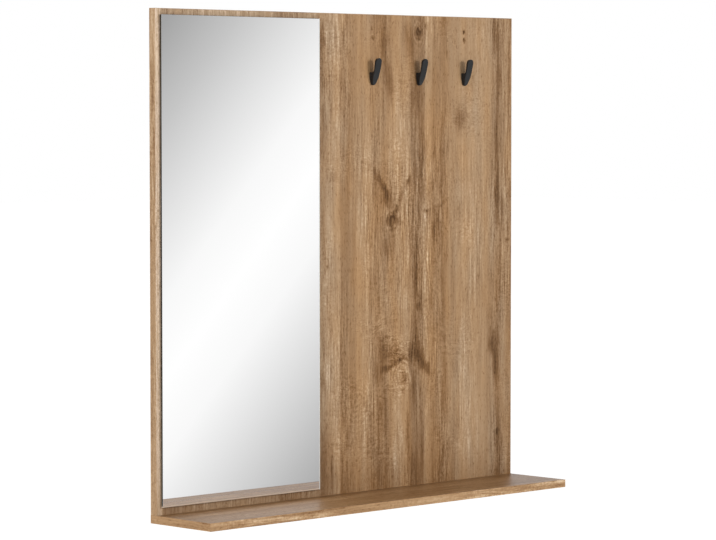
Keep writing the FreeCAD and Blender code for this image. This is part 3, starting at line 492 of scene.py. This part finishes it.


# Mirror
# A pane of 4 mm float glass with ground and polished edges, silvered and painted on the back and
# stuck to the panel with strips of foam tape.

# Silvered float glass: the face throws back nearly all light. The polished edges are painted almost black,
# as painted shade for the depth of the pane that the eye looks into there, and close to its right and
# lower edges a pale line is painted, a painted highlight where light comes in through them.
face_depth = 0.0001
lit_width = 0.0026
pane_low, pane_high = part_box("mirror_glass")
glass, glass_out = finish_named("silvered_float_glass")
tree = glass.node_tree
here = add(tree, "ShaderNodeTexCoord").outputs["Object"]
place = add(tree, "ShaderNodeSeparateXYZ", {"Vector": here})
on_face = add(tree, "ShaderNodeMath", {
    0: place.outputs["Y"], 1: pane_low.y + face_depth}, operation="LESS_THAN")
near_right = add(tree, "ShaderNodeMath", {
    0: place.outputs["X"], 1: pane_high.x - lit_width}, operation="GREATER_THAN")
near_foot = add(tree, "ShaderNodeMath", {
    0: place.outputs["Z"], 1: pane_low.z + lit_width}, operation="LESS_THAN")
near_edge = add(tree, "ShaderNodeMath", {
    0: near_right.outputs[0], 1: near_foot.outputs[0]}, operation="MAXIMUM")
# painted shade on the pane's sides, and a painted highlight along its right and lower edges
face_or_side = add(tree, "ShaderNodeMix", {
    0: on_face.outputs[0], 6: linear("#17130f"), 7: linear("#fcfcfc")}, data_type="RGBA")
painted_highlight_edge = add(tree, "ShaderNodeMix", {
    0: near_right.outputs[0], 6: linear("#c6b4a1"), 7: linear("#d2d3cf")}, data_type="RGBA")
silver_or_edge = add(tree, "ShaderNodeMix", {
    0: near_edge.outputs[0], 6: face_or_side.outputs[2], 7: painted_highlight_edge.outputs[2]}, data_type="RGBA")
inner_face = add(tree, "ShaderNodeMath", {
    0: on_face.outputs[0], 1: near_edge.outputs[0]}, operation="SUBTRACT", use_clamp=True)
polish = add(tree, "ShaderNodeMapRange", {"Value": inner_face.outputs[0], "To Min": 0.2, "To Max": 0.0})
pane = add(tree, "ShaderNodeBsdfPrincipled", {
    "Base Color": silver_or_edge.outputs[2], "Metallic": inner_face.outputs[0],
    "Roughness": polish.outputs["Result"], "IOR": 1.52})
tree.links.new(pane.outputs["BSDF"], glass_out.inputs["Surface"])
coat(glass, "mirror_glass")

# Silver under paint: a mirror on the side of the glass, and a dull grey, uneven from the brush in
# strokes of about 20 mm, on the other sides.
stroke_size = 20
backing, backing_out = finish_named("silvered_and_painted_back")
tree = backing.node_tree
normal = add(tree, "ShaderNodeNewGeometry").outputs["Normal"]
facing = add(tree, "ShaderNodeSeparateXYZ", {"Vector": normal})
to_glass = add(tree, "ShaderNodeMath", {0: facing.outputs["Y"], 1: -0.5}, operation="LESS_THAN")
here = add(tree, "ShaderNodeTexCoord").outputs["Object"]
brushed = add(tree, "ShaderNodeTexNoise", {"Vector": here, "Scale": 1000 / stroke_size, "Detail": 3.0})
paint = add(tree, "ShaderNodeValToRGB", {"Fac": brushed.outputs["Fac"]}, stops=(
    (0.3, linear("#6d7172")), (0.7, linear("#7f8384"))))
silver_or_paint = add(tree, "ShaderNodeMix", {
    0: to_glass.outputs[0], 6: paint.outputs["Color"], 7: linear("#f6f7f7")}, data_type="RGBA")
dull_back = add(tree, "ShaderNodeMapRange", {"Value": to_glass.outputs[0], "To Min": 0.6, "To Max": 0.0})
layer = add(tree, "ShaderNodeBsdfPrincipled", {
    "Base Color": silver_or_paint.outputs[2], "Metallic": to_glass.outputs[0],
    "Roughness": dull_back.outputs["Result"]})
tree.links.new(layer.outputs["BSDF"], backing_out.inputs["Surface"])
coat(backing, "mirror_backing")

# Polyethylene foam: matt off-white, with closed cells of 0.6 mm that show only from close by.
cell_size = 0.6
foam, foam_out = finish_named("white_foam_tape")
tree = foam.node_tree
here = add(tree, "ShaderNodeTexCoord").outputs["Object"]
cells = add(tree, "ShaderNodeTexVoronoi", {"Vector": here, "Scale": 1000 / cell_size})
off_white = add(tree, "ShaderNodeValToRGB", {"Fac": cells.outputs["Distance"]}, stops=(
    (0.0, linear("#d9d9d4")), (0.8, linear("#f0f0ec"))))
polyethylene = add(tree, "ShaderNodeBsdfPrincipled", {
    "Base Color": off_white.outputs["Color"], "Roughness": 0.8, "IOR": 1.5})
tree.links.new(polyethylene.outputs["BSDF"], foam_out.inputs["Surface"])
coat(foam, "mirror_tape")


# Coat hooks
# Three small castings with a short upright arm, tumbled to soft edges and powder-coated black.
# Two screws from the panel's rear hold each one.

# Black powder coat: a satin black whose bevels catch a soft light. Its orange peel is about 0.8 mm
# from crest to crest.
peel_size = 0.8
peel_depth = 0.0001
black_coat, black_out = finish_named("black_powder_coat")
tree = black_coat.node_tree
here = add(tree, "ShaderNodeTexCoord").outputs["Object"]
peel = add(tree, "ShaderNodeTexNoise", {"Vector": here, "Scale": 1000 / peel_size, "Detail": 2.0})
coal = add(tree, "ShaderNodeValToRGB", {"Fac": peel.outputs["Fac"]}, stops=(
    (0.3, linear("#0d0e0f")), (0.7, linear("#141517"))))
sheen = add(tree, "ShaderNodeMapRange", {"Value": peel.outputs["Fac"], "To Min": 0.36, "To Max": 0.5})
skin = add(tree, "ShaderNodeBump", {
    "Height": peel.outputs["Fac"], "Strength": 0.15, "Distance": peel_depth})
powder = add(tree, "ShaderNodeBsdfPrincipled", {
    "Base Color": coal.outputs["Color"], "Roughness": sheen.outputs["Result"], "IOR": 1.5,
    "Specular IOR Level": 0.3, "Normal": skin.outputs["Normal"]})
tree.links.new(powder.outputs["BSDF"], black_out.inputs["Surface"])
coat(black_coat, "hook_left", "hook_middle", "hook_right")
coat(zinc, "hook_screws")


# Hangers
# Two keyhole plates of pressed steel, zinc-plated, let into the panel's rear and held by two
# countersunk screws each. The piece hangs by them on two screws in the wall.

coat(zinc, "hanger_left", "hanger_right", "hanger_screws")


# Studio
# A white room: a pale floor as far below the shelf as in a hallway, soft light from all round, a
# soft lamp from the right front, a fill from the left and one from behind, the photograph's camera,
# and two sheets that only the mirror sees, a grey-to-white card and a slip of board.

def in_view(tree):
    """1 on the way to the camera, straight, off a mirror or through glass, and 0 where light falls on
    something dull."""
    rays = add(tree, "ShaderNodeLightPath")
    seen = rays.outputs["Is Camera Ray"]
    for way in ("Is Glossy Ray", "Is Transmission Ray"):
        seen = add(tree, "ShaderNodeMath", {0: seen, 1: rays.outputs[way]}, operation="MAXIMUM").outputs[0]
    return seen


def flat_sheet(name, left, front, right, back, level, material):
    """A level sheet of the studio, in metres."""
    mesh = bpy.data.meshes.new(name)
    corners = ((left, front, level), (right, front, level), (right, back, level), (left, back, level))
    mesh.from_pydata(corners, [], [(0, 1, 2, 3)])
    mesh.materials.append(material)
    sheet = bpy.data.objects.new(name, mesh)
    bpy.context.scene.collection.objects.link(sheet)
    return sheet


def show_to_mirror_alone(sheet):
    """Hides a sheet of the studio from the camera, from dull surfaces and from the lamps."""
    sheet.visible_camera = False
    sheet.visible_diffuse = False
    sheet.visible_shadow = False


bpy.context.scene.view_settings.view_transform = "Standard"

# White paper: it glows a little of itself, so the eye sees no line between floor and ground.
floor_half = 40.0
floor_drop = 0.90
floor_paper, paper_out = finish_named("white_floor_paper")
tree = floor_paper.node_tree
dull_white = add(tree, "ShaderNodeBsdfDiffuse", {"Color": linear("#e4e4e4")})
glow = add(tree, "ShaderNodeMapRange", {"Value": in_view(tree), "To Min": 0.25, "To Max": 0.82})
lit = add(tree, "ShaderNodeEmission", {"Color": linear("#ffffff"), "Strength": glow.outputs["Result"]})
both = add(tree, "ShaderNodeAddShader", {0: dull_white.outputs["BSDF"], 1: lit.outputs["Emission"]})
tree.links.new(both.outputs["Shader"], paper_out.inputs["Surface"])
floor = flat_sheet("studio_floor", -floor_half, -floor_half, floor_half, floor_half,
                   cad_low.z - floor_drop, floor_paper)

world = bpy.data.worlds.new("white_studio")
bpy.context.scene.world = world
world.use_nodes = True
tree = world.node_tree
tree.nodes.clear()
level = add(tree, "ShaderNodeMapRange", {"Value": in_view(tree), "To Min": 0.28, "To Max": 1.0})
ground = add(tree, "ShaderNodeBackground", {
    "Color": linear("#ffffff"), "Strength": level.outputs["Result"]})
add(tree, "ShaderNodeOutputWorld", {"Surface": ground.outputs["Background"]})

# bearing to the right of the panel's front and height in degrees, distance and size in metres
aim_level = -0.4
for lamp_name, bearing, height, distance, size, watts in (
        ("key_softbox", 19, 14, 4.0, 1.2, 84), ("left_fill", -72, 10, 4.0, 2.0, 84),
        ("rear_fill", 180, 10, 4.0, 2.0, 60)):
    lamp = bpy.data.lights.new(lamp_name, "AREA")
    lamp.shape = "SQUARE"
    lamp.size = size
    lamp.energy = watts
    holder = bpy.data.objects.new(lamp_name, lamp)
    bpy.context.scene.collection.objects.link(holder)
    turn, rise = math.radians(bearing), math.radians(height)
    holder.location = (distance * math.sin(turn) * math.cos(rise),
                       -distance * math.cos(turn) * math.cos(rise),
                       aim_level + distance * math.sin(rise))
    holder.rotation_euler = (math.radians(90) - rise, 0.0, turn)

# the camera that the panel's, the pane's and the shelf's corners in the photograph give
camera_place = (-4.4076, -4.5296, -0.0922)
camera_dip = 2.939
camera_turn = 44.591
eye = bpy.data.cameras.new("photo_camera")
eye.sensor_width = 36.0
eye.lens = 157.463
camera = bpy.data.objects.new("photo_camera", eye)
bpy.context.scene.collection.objects.link(camera)
camera.location = camera_place
camera.rotation_euler = (math.radians(90 - camera_dip), 0.0, math.radians(-camera_turn))
bpy.context.scene.camera = camera

# Graded card that shines by itself: the eye sees it only in the pane, as a white slant between two
# greys. It stands square to the way the camera looks off the pane.
card_distance = 2.5
card_half_width, card_half_height = 0.9, 1.2
band_slant = 35.5
band_shift = 0.020
grey_reach = 0.575
card_finish, card_out = finish_named("graded_card")
tree = card_finish.node_tree
here = add(tree, "ShaderNodeTexCoord").outputs["Object"]
turned = add(tree, "ShaderNodeMapping", {
    "Vector": here, "Location": (band_shift, 0.0, 0.0), "Rotation": (0.0, 0.0, math.radians(-band_slant))})
slope = add(tree, "ShaderNodeSeparateXYZ", {"Vector": turned.outputs["Vector"]})
over_card = add(tree, "ShaderNodeMapRange", {
    "Value": slope.outputs["X"], "From Min": -grey_reach, "From Max": grey_reach})
grades = add(tree, "ShaderNodeValToRGB", {"Fac": over_card.outputs["Result"]}, stops=(
    (0.00, linear("#9b9b9b")), (0.12, linear("#bcbcbc")), (0.27, linear("#e0e0e0")),
    (0.39, linear("#f8f8f8")), (0.50, linear("#ffffff")), (0.61, linear("#f8f8f8")),
    (0.74, linear("#e0e0e0")), (0.86, linear("#c5c5c5")), (1.00, linear("#a4a4a4"))))
card_light = add(tree, "ShaderNodeEmission", {"Color": grades.outputs["Color"], "Strength": 1.03})
tree.links.new(card_light.outputs["Emission"], card_out.inputs["Surface"])
card = flat_sheet("graded_card", -card_half_width, -card_half_height, card_half_width, card_half_height,
                  0.0, card_finish)
pane_middle = (pane_low + pane_high) / 2
sight = (pane_middle - camera.location).normalized()
thrown_back = Vector((sight.x, -sight.y, sight.z))
card.location = pane_middle + card_distance * thrown_back
card.rotation_euler = (-thrown_back).to_track_quat("Z", "Y").to_euler()
show_to_mirror_alone(card)

# the pane in the photograph shows the shelf 40 mm deeper than it is, so a slip of the same board
# lies before the shelf
slip_depth = 0.040
slip = flat_sheet("reflected_slip", cad_low.x, cad_low.y - slip_depth, cad_high.x, cad_low.y,
                  shelf_high.z, shelf_finish)
show_to_mirror_alone(slip)
